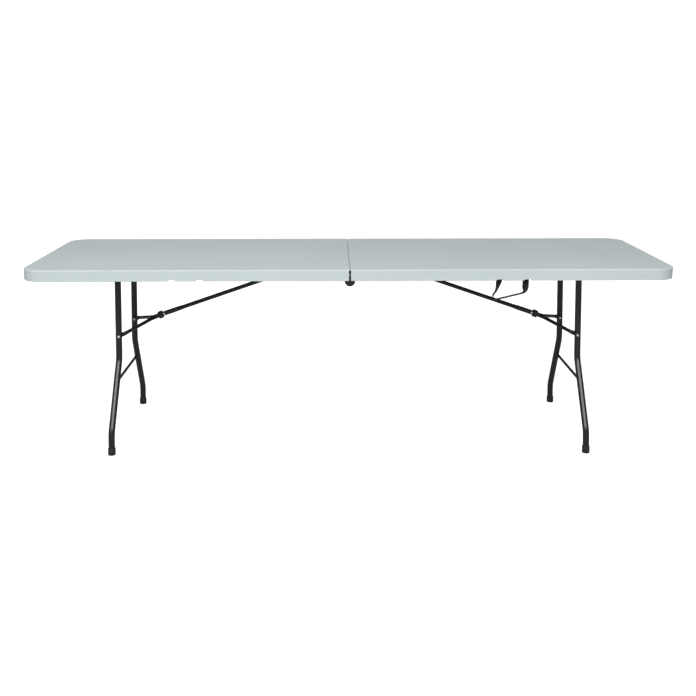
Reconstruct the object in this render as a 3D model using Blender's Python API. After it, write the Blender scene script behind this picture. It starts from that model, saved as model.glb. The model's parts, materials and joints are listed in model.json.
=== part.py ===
"""Centre-fold folding table: two blow-moulded halves on steel rails, two wishbone
leg frames that fold inward, toggle braces with sliding lock rings, and a webbing
carry strap. Metres, +Z up, table centred on the origin, feet on Z = 0.
X runs along the length, -Y is the long side that carries the strap."""

import bpy
import bmesh
from math import atan2, cos, degrees, hypot, pi, radians, sin
from mathutils import Vector

# ---- overall -------------------------------------------------------------
LENGTH = 2.44                 # open table, end to end
WIDTH = 0.76
HEIGHT = 0.74
FIT = 0.0003                  # gap between pieces that touch

# ---- moulded halves --------------------------------------------------------
SKIRT = 0.043                 # height of the moulded rim
PANEL = 0.0155                # thickness of the double-walled field
RIM = 0.022                   # width of the rim under the field
SEAM_RIM = 0.016              # width of the shallower rim along the fold
SEAM_RIM_HEIGHT = 0.0290
SEAM = 0.0020                 # gap between the halves
CORNER_R = 0.078              # outer corners in plan
SEAM_CORNER_R = 0.007
EDGE_R = 0.004                # rounding of the top edge
WALL = 0.0025                 # moulded wall
BLOW_HOLE_R = 0.003
NOTCH_X = (0.556, 0.659)      # strap notches, from the table's centre
NOTCH_W, NOTCH_H = 0.030, 0.0055

# ---- centre hinges -----------------------------------------------------------
HINGE_Z = HEIGHT - 0.050
HINGE_EAR_R = 0.020
HINGE_SHOULDER = (0.0205, 0.0020)   # where the ear flares into the leaf, from the pin
HINGE_PIN_R, HINGE_HEAD_R, HEAD_H = 0.004, 0.0095, 0.0032
LEAF_T, LEAF_L = 0.003, 0.086

# ---- steel under the top -------------------------------------------------------
SHEET = 0.0015                # rail sheet
RAIL_Y = WIDTH / 2 - RIM - 0.016   # outer face of the rail web
RAIL_DEPTH = 0.0268           # height of the web
RAIL_FLANGE = 0.016
RAIL_OUT, RAIL_IN = LENGTH / 2 - 0.050, 0.034   # rail ends, from the table's centre
CROSS_X, CROSS_W, CROSS_H = 0.058, 0.030, 0.014

# ---- leg frames ---------------------------------------------------------------
PIVOT_X, PIVOT_Z = LENGTH / 2 - 0.3129, HEIGHT - 0.0335
FOOT_X = PIVOT_X + 0.0145     # the legs lean out by this much at the floor
TUBE_R, TUBE_WALL = 0.0125, 0.0013
LEG_Y_TOP, LEG_Y_FOOT = 0.1515, WIDTH / 2 - 0.0720
BEND_TOP, BEND_FOOT = 0.338, 0.083   # heights where the splayed stretch starts and ends
BEND_R = 0.070
STUB_R = 0.006                # turned end of a pivot plug
CAP_R, CAP_H, CAP_BASE = 0.0148, 0.027, 0.005
BAR_DOWN, BAR_OFFSET, BAR_R = 0.461, 0.0095, 0.0055   # lower crossbar

# ---- braces ------------------------------------------------------------------
FORK_DOWN, FORK_OFFSET = 0.275, 0.002   # fork pivot along and off the leg
BRACE_X, BRACE_Z = 0.105, HEIGHT - 0.026   # fixed pivot near the fold
FOLDED_JOINT_Z = HEIGHT - 0.0312        # height of the brace joint when folded flat
TOGGLE_RISE = 0.003                     # joint above the line between its neighbours
BRACE_R, ARM_R = 0.0083, 0.0070
BLADE_T, BLADE_H = 0.0060, 0.0196       # flattened end of the long bar
PLATE_T, PLATE_H = 0.0045, 0.0180       # flattened ends of the fork arms
TAIL = 0.026                            # blade past the joint rivet
RIVET_R, RIVET_HEAD_R = 0.0035, 0.0062
RING_W, RING_T, RING_Y, RING_Z = 0.016, 0.0025, 0.0118, 0.0117   # inner half sizes last
RING_AT = 0.0145                        # ring centre past the joint rivet

# ---- strap ---------------------------------------------------------------------
STRAP_W, STRAP_T = 0.0245, 0.0017
STRAP_Y = WIDTH / 2 - 0.0245  # strap centre plane where it is held
STRAP_ENDS = (0.560, 0.6592)   # X of the two held ends
ANCHOR_T = 0.0016

UNDER = HEIGHT - PANEL        # underside of the field
SKIRT_Z = HEIGHT - SKIRT
LEG_LEN = hypot(FOOT_X - PIVOT_X, PIVOT_Z)
LEAN = atan2(FOOT_X - PIVOT_X, PIVOT_Z)

for old in list(bpy.data.objects):
    bpy.data.objects.remove(old, do_unlink=True)


# ---- materials --------------------------------------------------------------------
def material(name, colour, roughness, metallic=0.0):
    """Principled material with a linear base colour."""
    mat = bpy.data.materials.new(name)
    mat.use_nodes = True
    bsdf = mat.node_tree.nodes["Principled BSDF"]
    bsdf.inputs["Base Color"].default_value = (*colour, 1.0)
    bsdf.inputs["Roughness"].default_value = roughness
    bsdf.inputs["Metallic"].default_value = metallic
    return mat


TOP_PLASTIC = dict(colour=(0.52, 0.58, 0.59), roughness=0.55)
LEG_PAINT = dict(colour=(0.055, 0.060, 0.060), roughness=0.42)
RAIL_PAINT = dict(colour=(0.040, 0.043, 0.043), roughness=0.48)
ZINC = dict(colour=(0.55, 0.56, 0.56), roughness=0.35, metallic=1.0)
BLACK_NYLON = dict(colour=(0.012, 0.012, 0.012), roughness=0.50)
WEBBING = dict(colour=(0.010, 0.011, 0.011), roughness=0.85)


# ---- placing ------------------------------------------------------------------------
def anchor(name, place, parent=None):
    """Empty on a joint axis, for the pieces that move about it."""
    ob = bpy.data.objects.new(name, None)
    ob.empty_display_size = 0.05
    bpy.context.collection.objects.link(ob)
    ob.parent = parent
    ob.location = Vector(place) - (world_place(parent) if parent else Vector())
    return ob


def world_place(ob):
    place = Vector()
    while ob:
        place += ob.location
        ob = ob.parent
    return place


def emit(name, bm, look, parent, side="left", cutter=False):
    """Turns a bmesh drawn in place for the left half into an object of the given side."""
    if side == "right":
        bmesh.ops.scale(bm, vec=(-1, 1, 1), verts=bm.verts)
    origin = world_place(parent)
    bmesh.ops.translate(bm, vec=-origin, verts=bm.verts)
    bmesh.ops.recalc_face_normals(bm, faces=bm.faces)
    mesh = bpy.data.meshes.new(name)
    bm.to_mesh(mesh)
    bm.free()
    for poly in mesh.polygons:
        poly.use_smooth = True
    mesh.set_sharp_from_angle(angle=radians(38))
    ob = bpy.data.objects.new(name, mesh)
    bpy.context.collection.objects.link(ob)
    ob.parent = parent
    if cutter:
        ob.hide_render = True
        ob.display_type = "WIRE"
    else:
        mesh.materials.append(material(name + "_finish", **look))
    return ob


def cut(ob, bm, side="left", self_meet=False):
    """Takes a bmesh drawn in place for the left half out of an object."""
    tool = emit(ob.name + "_cut" + str(len(ob.modifiers)), bm, None, ob.parent, side, True)
    mod = ob.modifiers.new("cut", "BOOLEAN")
    mod.operation = "DIFFERENCE"
    mod.object = tool
    mod.use_self = self_meet
    return ob


# ---- shapes ------------------------------------------------------------------------------
def box(bm, low, high):
    verts = bmesh.ops.create_cube(bm, size=1.0)["verts"]
    size = [b - a for a, b in zip(low, high)]
    mid = [(a + b) / 2 for a, b in zip(low, high)]
    bmesh.ops.scale(bm, vec=size, verts=verts)
    bmesh.ops.translate(bm, vec=mid, verts=verts)
    return verts


def loft(bm, rings, closed=False):
    """Joins rings of equal count; closes the ends, or the last ring to the first."""
    loops = [[bm.verts.new(p) for p in ring] for ring in rings]
    pairs = list(zip(loops, loops[1:])) + ([(loops[-1], loops[0])] if closed else [])
    n = len(loops[0])
    for a, b in pairs:
        for i in range(n):
            bm.faces.new((a[i], a[(i + 1) % n], b[(i + 1) % n], b[i]))
    if not closed:
        bm.faces.new(loops[0][::-1])
        bm.faces.new(loops[-1])
    return loops


def turned(bm, centre, axis, profile, count=20):
    """Solid of revolution: profile is (distance along the axis, radius) from end to end."""
    z = Vector(axis).normalized()
    x = z.orthogonal().normalized()
    y = z.cross(x)
    rings = []
    for along, r in profile:
        mid = Vector(centre) + z * along
        rings.append([mid + (x * cos(t) + y * sin(t)) * r
                      for t in (2 * pi * (i + 0.5) / count for i in range(count))])
    loft(bm, rings)


def rod(bm, centre, axis, low, high, r, count=20):
    turned(bm, centre, axis, [(low, r), (high, r)], count)


def dome(start, r, h, steps=2):
    """Profile of a domed head that starts flat at start and rises by h (h may be negative)."""
    return [(start + h * sin(pi / 2 * i / steps), r * cos(pi / 2 * i / steps) + 0.0004)
            for i in range(steps + 1)]


def obround(half_w, half_h, count=16):
    """Flattened-tube section, (across, up); a circle when both halves are equal."""
    flat = half_h - half_w
    out = []
    for i in range(count):
        t = 2 * pi * (i + 0.5) / count
        out.append((half_w * cos(t), half_w * sin(t) + (flat if sin(t) > 0 else -flat)))
    return out


def extruded(bm, outline, y0, y1):
    """Plate from an (x, z) outline between two y values."""
    front = [bm.verts.new((x, y0, z)) for x, z in outline]
    back = [bm.verts.new((x, y1, z)) for x, z in outline]
    bm.faces.new(front)
    bm.faces.new(back[::-1])
    n = len(outline)
    for i in range(n):
        bm.faces.new((front[i], back[i], back[(i + 1) % n], front[(i + 1) % n]))


def arc(cx, cy, r, start, end, steps):
    return [(cx + r * cos(radians(start + (end - start) * i / steps)),
             cy + r * sin(radians(start + (end - start) * i / steps))) for i in range(steps + 1)]


# ---- moulded halves ------------------------------------------------------------------------
def plan(inset, outer_r, inner_r, steps=(9, 3)):
    """Outline of the left half in plan, seen from above, anticlockwise."""
    x0, x1 = -LENGTH / 2 + inset, -SEAM / 2 - inset
    y = WIDTH / 2 - inset
    out = arc(x0 + outer_r, -y + outer_r, outer_r, 180, 270, steps[0])
    out += arc(x1 - inner_r, -y + inner_r, inner_r, 270, 360, steps[1])
    out += arc(x1 - inner_r, y - inner_r, inner_r, 0, 90, steps[1])
    out += arc(x0 + outer_r, y - outer_r, outer_r, 90, 180, steps[0])
    return out


def plan_ring(inset, z):
    return [(x, y, z) for x, y in plan(inset, CORNER_R - inset, max(SEAM_CORNER_R - inset, 0.001))]


def moulded_half(side, root):
    bm = bmesh.new()
    rings = [plan_ring(0.0025, SKIRT_Z), plan_ring(0.0007, SKIRT_Z + 0.0008),
             plan_ring(0.0, SKIRT_Z + 0.0025)]
    for i in range(4):
        t = pi / 2 * i / 3
        rings.append(plan_ring(EDGE_R * (1 - cos(t)), HEIGHT - EDGE_R * (1 - sin(t))))
    loft(bm, rings)
    ob = emit(side + "_top", bm, TOP_PLASTIC, root, side)

    # the recess under the field, with a drafted wall
    bm = bmesh.new()
    x0, x1 = -LENGTH / 2 + RIM, -SEAM / 2 - SEAM_RIM
    half = WIDTH / 2 - RIM
    rings = []
    for z, grow in ((SKIRT_Z - 0.01, 0.0016), (UNDER, -0.0012)):
        r = CORNER_R - RIM + grow
        ring = arc(x0 - grow + r, -half - grow + r, r, 180, 270, 6)
        ring += arc(x1 + grow - 0.004, -half - grow + 0.004, 0.004, 270, 360, 2)
        ring += arc(x1 + grow - 0.004, half + grow - 0.004, 0.004, 0, 90, 2)
        ring += arc(x0 - grow + r, half + grow - r, r, 90, 180, 6)
        rings.append([(x, y, z) for x, y in ring])
    loft(bm, rings)
    # the rim along the fold is shallower, to clear the hinges
    box(bm, (x1 - 0.02, -half + 0.004, SKIRT_Z - 0.01), (0.01, half - 0.004, HEIGHT - SEAM_RIM_HEIGHT))
    cut(ob, bm, side, self_meet=True)

    # notches in the front rim, where the strap's ends come through or are faced when folded
    bm = bmesh.new()
    for x in NOTCH_X:
        ring = [(-x - NOTCH_W / 2, SKIRT_Z - 0.003), (-x + NOTCH_W / 2, SKIRT_Z - 0.003),
                (-x + NOTCH_W / 2 - 0.004, SKIRT_Z + NOTCH_H), (-x - NOTCH_W / 2 + 0.004, SKIRT_Z + NOTCH_H)]
        extruded(bm, ring, -WIDTH / 2 - 0.01, -half + 0.01)
    cut(ob, bm, side)

    # the closed hollow of the moulding, opened by its blow-needle hole
    bm = bmesh.new()
    low, high = UNDER + WALL, HEIGHT - WALL
    loft(bm, [[(x, y, z) for x, y in plan(WALL, CORNER_R - WALL, 0.005, (6, 2))] for z in (low, high)])
    rim_low = SKIRT_Z + NOTCH_H + 0.004
    far, near = -LENGTH / 2 + CORNER_R, -0.030
    for s in (-1, 1):
        y0, y1 = sorted((s * (WIDTH / 2 - WALL - 0.0005), s * (half + WALL)))
        box(bm, (far, y0, rim_low), (near, y1, low + 0.002))
    box(bm, (-LENGTH / 2 + WALL + 0.0005, -WIDTH / 2 + CORNER_R, rim_low),
        (x0 - WALL, WIDTH / 2 - CORNER_R, low + 0.002))
    rod(bm, (-0.30, 0.22, 0), (0, 0, 1), UNDER - 0.004, low + 0.002, BLOW_HOLE_R, 12)
    cut(ob, bm, side, self_meet=True)
    return ob


# ---- rails, cross rail and hinges ---------------------------------------------------------------
def side_rail(side, edge, root):
    """Angle rail: upright web with the leg frame's pivot hole, flange under the field."""
    s = -1 if edge == "front" else 1
    top, bottom = UNDER - FIT, UNDER - FIT - RAIL_DEPTH
    section = [(RAIL_Y, bottom), (RAIL_Y, top), (RAIL_Y - RAIL_FLANGE, top),
               (RAIL_Y - RAIL_FLANGE, top - SHEET), (RAIL_Y - SHEET, top - SHEET), (RAIL_Y - SHEET, bottom)]
    bm = bmesh.new()
    loft(bm, [[(x, s * y, z) for y, z in section] for x in (-RAIL_OUT, -RAIL_IN)])
    ob = emit(f"{side}_rail_{edge}", bm, RAIL_PAINT, root, side)
    bm = bmesh.new()
    rod(bm, (-PIVOT_X, s * RAIL_Y, PIVOT_Z), (0, 1, 0), -0.01, 0.01, STUB_R + FIT, 24)
    return cut(ob, bm, side)


def cross_rail(side, root):
    """Folded-down channel between the side rails, just inside the fold."""
    top = UNDER - FIT
    reach = RAIL_Y - RAIL_FLANGE - 0.001
    x0, x1 = -CROSS_X - CROSS_W / 2, -CROSS_X + CROSS_W / 2
    section = [(x0, top), (x1, top), (x1, top - CROSS_H), (x1 - SHEET, top - CROSS_H),
               (x1 - SHEET, top - SHEET), (x0 + SHEET, top - SHEET), (x0 + SHEET, top - CROSS_H),
               (x0, top - CROSS_H)]
    bm = bmesh.new()
    loft(bm, [[(x, y, z) for x, z in section] for y in (-reach, reach)])
    return emit(side + "_cross_rail", bm, RAIL_PAINT, root, side)


def brace_bracket(side, root):
    """Clip on the cross rail: two ears that carry the brace pin."""
    face = -CROSS_X - CROSS_W / 2 - FIT
    ear, back = 0.0068, 0.0095
    bottom = UNDER - FIT - CROSS_H
    bm = bmesh.new()
    plan_shape = [(face, -0.016), (face, 0.016), (face - 0.002, 0.016), (face - 0.002, ear),
                  (-BRACE_X - back, ear), (-BRACE_X - back, ear - 0.002), (face - 0.002, ear - 0.002),
                  (face - 0.002, -ear + 0.002), (-BRACE_X - back, -ear + 0.002), (-BRACE_X - back, -ear),
                  (face - 0.002, -ear), (face - 0.002, -0.016)]
    loft(bm, [[(x, y, z) for x, y in plan_shape] for z in (bottom, UNDER - FIT)])
    ob = emit(side + "_brace_bracket", bm, RAIL_PAINT, root, side)
    bm = bmesh.new()
    rod(bm, (-BRACE_X, 0, BRACE_Z), (0, 1, 0), -0.03, 0.03, 0.004 + FIT, 20)
    return cut(ob, bm, side)


def headed_pin(name, side, parent, centre, r, head_r, grip_low, grip_high, look, head=0.002):
    """Rivet or pin along Y with a domed head at each end of its grip."""
    bm = bmesh.new()
    low = [(a, b) for a, b in dome(grip_low, head_r, -head)][::-1]
    high = dome(grip_high, head_r, head)
    turned(bm, centre, (0, 1, 0), low + [(grip_low, r), (grip_high, r)] + high, 18)
    return emit(name, bm, look, parent, side)


def hinge_leaf(side, edge, root):
    """Plate riveted to a side rail, with a round ear about the fold axis."""
    s = -1 if edge == "front" else 1
    outer = RAIL_Y + FIT + LEAF_T if side == "left" else RAIL_Y - SHEET - FIT
    top, low = UNDER - 0.0022, UNDER - 0.0248
    step = HEIGHT - SEAM_RIM_HEIGHT - 0.0008
    ear = arc(0, HINGE_Z, HINGE_EAR_R, -125, 78, 12)
    outline = ([(-RAIL_IN - LEAF_L, low), (-RAIL_IN + 0.004, low),
                (-HINGE_SHOULDER[0], HINGE_Z + HINGE_SHOULDER[1])] + ear
               + [(-SEAM_RIM - 0.0045, step), (-SEAM_RIM - 0.0045, top), (-RAIL_IN - LEAF_L, top)])
    y0, y1 = sorted((s * outer, s * (outer - LEAF_T)))
    bm = bmesh.new()
    extruded(bm, outline, y0, y1)
    ob = emit(f"{side}_hinge_leaf_{edge}", bm, RAIL_PAINT, root, side)
    bm = bmesh.new()
    rod(bm, (0, s * RAIL_Y, HINGE_Z), (0, 1, 0), -0.02, 0.02, HINGE_PIN_R + FIT, 20)
    return cut(ob, bm, side)


# ---- leg frames ----------------------------------------------------------------------------------
def leg_place(along, out, y):
    """World place of a point of the left leg frame: along the leg from its pivot, and toward the fold."""
    return Vector((-PIVOT_X - along * sin(LEAN) + out * cos(LEAN), y,
                   PIVOT_Z - along * cos(LEAN) - out * sin(LEAN)))


def leg_path(s):
    """(along, y) points of a leg's centre line, with an arc at each bend."""
    top, foot = PIVOT_Z - BEND_TOP, PIVOT_Z - BEND_FOOT
    slope = atan2(LEG_Y_FOOT - LEG_Y_TOP, foot - top)
    cut_back = BEND_R * (1 - cos(slope)) / sin(slope)
    pts = [(0.0, LEG_Y_TOP)]
    steps = 5
    for i in range(steps + 1):
        t = slope * i / steps
        pts.append((top - cut_back + BEND_R * sin(t), LEG_Y_TOP + BEND_R * (1 - cos(t))))
    for i in range(steps + 1):
        t = slope * (steps - i) / steps
        pts.append((foot + cut_back - BEND_R * sin(t), LEG_Y_FOOT - BEND_R * (1 - cos(t))))
    pts.append((LEG_LEN - CAP_BASE - FIT, LEG_Y_FOOT))
    return [(a, s * y) for a, y in pts]


def leg_y(along):
    """Distance of a leg's centre line from the table's centre plane at this distance down it."""
    pts = leg_path(1)
    for (a0, y0), (a1, y1) in zip(pts, pts[1:]):
        if a0 <= along <= a1:
            return y0 + (y1 - y0) * (along - a0) / (a1 - a0)
    return pts[-1][1]


def leg_rings(s, r, count=16):
    pts = leg_path(s)
    rings = []
    for i, (a, y) in enumerate(pts):
        a0, y0 = pts[max(i - 1, 0)]
        a1, y1 = pts[min(i + 1, len(pts) - 1)]
        turn = atan2(y1 - y0, a1 - a0) if 0 < i < len(pts) - 1 else 0.0
        rings.append([leg_place(a - r * cos(t) * sin(turn), r * sin(t), y + r * cos(t) * cos(turn))
                      for t in (2 * pi * (k + 0.5) / count for k in range(count))])
    return rings


def leg_tube(side, edge, frame):
    """Bent tube, coped to the pivot tube, open at both ends."""
    s = -1 if edge == "front" else 1
    outer, inner = leg_rings(s, TUBE_R), leg_rings(s, TUBE_R - TUBE_WALL)
    bm = bmesh.new()
    loft(bm, outer + inner[::-1], closed=True)
    ob = emit(f"{side}_leg_{edge}", bm, LEG_PAINT, frame, side)
    bm = bmesh.new()
    rod(bm, (-PIVOT_X, s * LEG_Y_TOP, PIVOT_Z), (0, 1, 0), -0.03, 0.03, TUBE_R + FIT, 32)
    rod(bm, leg_place(FORK_DOWN, FORK_OFFSET, s * LEG_Y_TOP), (0, 1, 0), -0.03, 0.03, RIVET_R + FIT, 16)
    return cut(ob, bm, side)


def pivot_tube(side, frame):
    half = RAIL_Y - SHEET - 0.0035
    bm = bmesh.new()
    rings = [[(-PIVOT_X + r * cos(t), y, PIVOT_Z + r * sin(t))
              for t in (2 * pi * (k + 0.5) / 24 for k in range(24))]
             for y, r in ((-half, TUBE_R), (half, TUBE_R), (half, TUBE_R - TUBE_WALL),
                          (-half, TUBE_R - TUBE_WALL))]
    loft(bm, rings, closed=True)
    return emit(side + "_pivot_tube", bm, LEG_PAINT, frame, side)


def pivot_plug(side, edge, frame):
    """Plug pressed into the pivot tube, with a turned stub that runs in the rail's hole."""
    s = -1 if edge == "front" else 1
    end = RAIL_Y - SHEET - 0.0035
    bm = bmesh.new()
    profile = [(end - 0.022, TUBE_R - TUBE_WALL - FIT), (end + FIT, TUBE_R - TUBE_WALL - FIT),
               (end + FIT, TUBE_R), (end + 0.0030, TUBE_R), (end + 0.0030, STUB_R),
               (RAIL_Y + 0.0030, STUB_R), (RAIL_Y + 0.0036, STUB_R - 0.0006)]
    turned(bm, (-PIVOT_X, 0, PIVOT_Z), (0, s, 0), profile, 24)
    return emit(f"{side}_pivot_plug_{edge}", bm, BLACK_NYLON, frame, side)


def foot_cap(side, edge, frame):
    """Cap over the foot of a leg; its base is level although the leg leans."""
    s = -1 if edge == "front" else 1
    down = leg_place(1.0, 0, 0) - leg_place(0.0, 0, 0)
    bore = TUBE_R + FIT
    start = LEG_LEN - CAP_H
    bm = bmesh.new()
    turned(bm, leg_place(0, 0, s * LEG_Y_FOOT), down,
           [(LEG_LEN - CAP_BASE, 0.0008), (LEG_LEN - CAP_BASE, bore), (start + 0.0006, bore),
            (start, bore + 0.0005), (start, CAP_R - 0.0012), (start + 0.0008, CAP_R - 0.0004),
            (start + 0.006, CAP_R), (LEG_LEN - 0.003, CAP_R), (LEG_LEN + 0.004, CAP_R - 0.001)], 24)
    cutplane = bmesh.ops.bisect_plane(bm, geom=bm.verts[:] + bm.edges[:] + bm.faces[:],
                                      plane_co=(0, 0, 0), plane_no=(0, 0, -1), clear_outer=True)
    rim = [g for g in cutplane["geom_cut"] if isinstance(g, bmesh.types.BMEdge)]
    bmesh.ops.contextual_create(bm, geom=rim)
    return emit(f"{side}_foot_cap_{edge}", bm, BLACK_NYLON, frame, side)


def leg_crossbar(side, frame):
    """Thin bar between the legs, coped to them, set toward their outer side."""
    reach = leg_y(BAR_DOWN)
    bm = bmesh.new()
    rod(bm, leg_place(BAR_DOWN, -BAR_OFFSET, 0), (0, 1, 0), -reach, reach, BAR_R, 16)
    ob = emit(side + "_leg_crossbar", bm, LEG_PAINT, frame, side)
    bm = bmesh.new()
    for s in (-1, 1):
        loft(bm, leg_rings(s, TUBE_R + FIT))
    return cut(ob, bm, side)


# ---- braces ----------------------------------------------------------------------------------------
def circles_meet(p, rp, q, rq):
    """Upper meeting point of two circles in the x-z plane."""
    d = hypot(q[0] - p[0], q[1] - p[1])
    a = (rp * rp - rq * rq + d * d) / (2 * d)
    h = max(rp * rp - a * a, 0.0) ** 0.5
    ux, uz = (q[0] - p[0]) / d, (q[1] - p[1]) / d
    return (p[0] + a * ux - h * uz, p[1] + a * uz + h * ux), h


def solve_brace():
    """Fork and bar lengths that close both the open and the folded pose."""
    start = leg_place(FORK_DOWN, FORK_OFFSET, 0)
    open_end = (start.x, start.z)
    flat_end = (-PIVOT_X + FORK_DOWN, PIVOT_Z + FORK_OFFSET)
    fixed = (-BRACE_X, BRACE_Z)
    low, high = 0.150, FORK_DOWN
    for _ in range(60):
        fork = (low + high) / 2
        dz = FOLDED_JOINT_Z - flat_end[1]
        flat = (flat_end[0] - (fork * fork - dz * dz) ** 0.5, FOLDED_JOINT_Z)
        bar = hypot(fixed[0] - flat[0], fixed[1] - flat[1])
        span = hypot(fixed[0] - open_end[0], fixed[1] - open_end[1])
        if fork + bar <= span:
            low = fork
            continue
        joint, rise = circles_meet(open_end, fork, fixed, bar)
        low, high = (low, fork) if rise > TOGGLE_RISE else (fork, high)
    return open_end, fixed, joint, flat_end, flat, fork, bar


FORK_END, FIXED, JOINT, FLAT_END, FLAT_JOINT, FORK_LEN, BRACE_LEN = solve_brace()
BRACE_TILT = atan2(FIXED[1] - JOINT[1], FIXED[0] - JOINT[0])
FORK_TILT = atan2(JOINT[1] - FORK_END[1], JOINT[0] - FORK_END[0])
FLAT_TILT = atan2(FIXED[1] - FLAT_JOINT[1], FIXED[0] - FLAT_JOINT[0])
FLAT_FORK = atan2(FLAT_JOINT[1] - FLAT_END[1], FLAT_JOINT[0] - FLAT_END[0])


def swept(bm, stations, origin, tilt):
    """Skin over (x, y, turn, half width, half height) stations. x runs down the brace from origin."""
    rings = []
    for x, y, turn, w, h in stations:
        ring = []
        for across, up in obround(w, h):
            along = x - across * sin(turn)
            ring.append((origin[0] - along * cos(tilt) - up * sin(tilt), y + across * cos(turn),
                         origin[1] - along * sin(tilt) + up * cos(tilt)))
        rings.append(ring)
    loft(bm, rings)


def rounded_end(at, direction, w, h, y=0.0):
    """Stations that round off a flattened end: half-round, centred at `at`."""
    out = []
    for a in (86, 64, 42, 20):
        out.append((at + direction * h * sin(radians(a)), y, 0.0, min(w, h * cos(radians(a)) * 0.98),
                    h * cos(radians(a))))
    return out


def brace_bar(side, hinge):
    """Long tube with both ends flattened: pinned near the fold, riveted to the fork."""
    w, h = BLADE_T / 2, BLADE_H / 2
    r = BRACE_R
    pin_w, pin_h = 0.0040, 0.0090
    st = rounded_end(0.0, -1, pin_w, pin_h)
    st += [(0.014, 0, 0, pin_w, pin_h), (0.024, 0, 0, 0.0058, 0.0088), (0.036, 0, 0, 0.0076, 0.0086),
           (0.046, 0, 0, r, r)]
    end = BRACE_LEN
    st += [(end - 0.088, 0, 0, r, r), (end - 0.076, 0, 0, 0.0072, 0.0088), (end - 0.062, 0, 0, 0.0045, 0.0095),
           (end - 0.052, 0, 0, w, h)]
    st += rounded_end(end + TAIL - h, 1, w, h)[::-1]
    bm = bmesh.new()
    swept(bm, st, FIXED, BRACE_TILT)
    ob = emit(side + "_brace_bar", bm, LEG_PAINT, hinge, side)
    bm = bmesh.new()
    rod(bm, (FIXED[0], 0, FIXED[1]), (0, 1, 0), -0.02, 0.02, 0.004 + FIT, 20)
    rod(bm, (JOINT[0], 0, JOINT[1]), (0, 1, 0), -0.02, 0.02, RIVET_R + FIT, 20)
    return cut(ob, bm, side)


def fork_arm(side, edge, joint):
    """One arm of the wishbone: plate at the joint, tube, plate on the leg's inner side."""
    s = -1 if edge == "front" else 1
    w, h, r = PLATE_T / 2, PLATE_H / 2, ARM_R
    near = s * (BLADE_T / 2 + FIT + w)
    far = s * (LEG_Y_TOP - TUBE_R - FIT - w)
    x0, x1 = 0.046, FORK_LEN - 0.020
    turn = atan2(far - near, x1 - x0)
    st = rounded_end(0.0, -1, w, h, near)
    st += [(0.018, near, 0, w, h), (0.032, near + s * 0.0010, turn * 0.12, w + 0.0006, h - 0.0004),
           (x0 - 0.004, near + s * 0.0035, turn * 0.55, 0.0042, 0.0082)]
    for k in (0.12, 0.24, 0.80, 0.90):
        st.append((x0 + (x1 - x0) * k, near + (far - near) * k + s * 0.002 * (1 - k), turn, r, r))
    st += [(x1 - 0.001, far - s * 0.0022, turn * 0.55, 0.0042, 0.0082),
           (FORK_LEN - 0.010, far, turn * 0.08, w + 0.0003, h - 0.0003)]
    st += rounded_end(FORK_LEN, 1, w, h, far)[::-1]
    bm = bmesh.new()
    swept(bm, st, JOINT, FORK_TILT)
    ob = emit(f"{side}_fork_arm_{edge}", bm, LEG_PAINT, joint, side)
    bm = bmesh.new()
    rod(bm, (JOINT[0], near, JOINT[1]), (0, 1, 0), -0.006, 0.006, RIVET_R + FIT, 20)
    rod(bm, (FORK_END[0], far, FORK_END[1]), (0, 1, 0), -0.006, 0.006, RIVET_R + FIT, 20)
    return cut(ob, bm, side)


def leg_rivet(side, edge, frame):
    """Rivet through the leg; the fork arm bears on the leg's inner side around it."""
    s = -1 if edge == "front" else 1
    bm = bmesh.new()
    head = dome(LEG_Y_TOP + TUBE_R + 0.0004, 0.0058, 0.0022)
    inner = LEG_Y_TOP - TUBE_R + 0.0002
    turned(bm, (FORK_END[0], 0, FORK_END[1]), (0, s, 0),
           [(inner, RIVET_R), (LEG_Y_TOP + TUBE_R + 0.0004, RIVET_R)] + head)
    return emit(f"{side}_leg_rivet_{edge}", bm, ZINC, frame, side)


def lock_ring(side, slide):
    """Flat steel ring that slides along the bar and over the joint."""
    bm = bmesh.new()
    centre = BRACE_LEN + RING_AT
    r = 0.004
    rings = []
    for along, grow in ((-RING_W / 2, 0.0), (-RING_W / 2, RING_T), (RING_W / 2, RING_T), (RING_W / 2, 0.0)):
        hy, hz, cr = RING_Y + grow, RING_Z + grow, r + grow - 0.001
        shape = (arc(hy - cr, hz - cr, cr, 0, 90, 3) + arc(-hy + cr, hz - cr, cr, 90, 180, 3)
                 + arc(-hy + cr, -hz + cr, cr, 180, 270, 3) + arc(hy - cr, -hz + cr, cr, 270, 360, 3))
        at = centre + along
        rings.append([(FIXED[0] - at * cos(BRACE_TILT) - up * sin(BRACE_TILT), y,
                       FIXED[1] - at * sin(BRACE_TILT) + up * cos(BRACE_TILT)) for y, up in shape])
    loft(bm, rings, closed=True)
    return emit(side + "_lock_ring", bm, LEG_PAINT, slide, side)


# ---- strap --------------------------------------------------------------------------------------------
def eased(t):
    return t * t * (3 - 2 * t)


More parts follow.
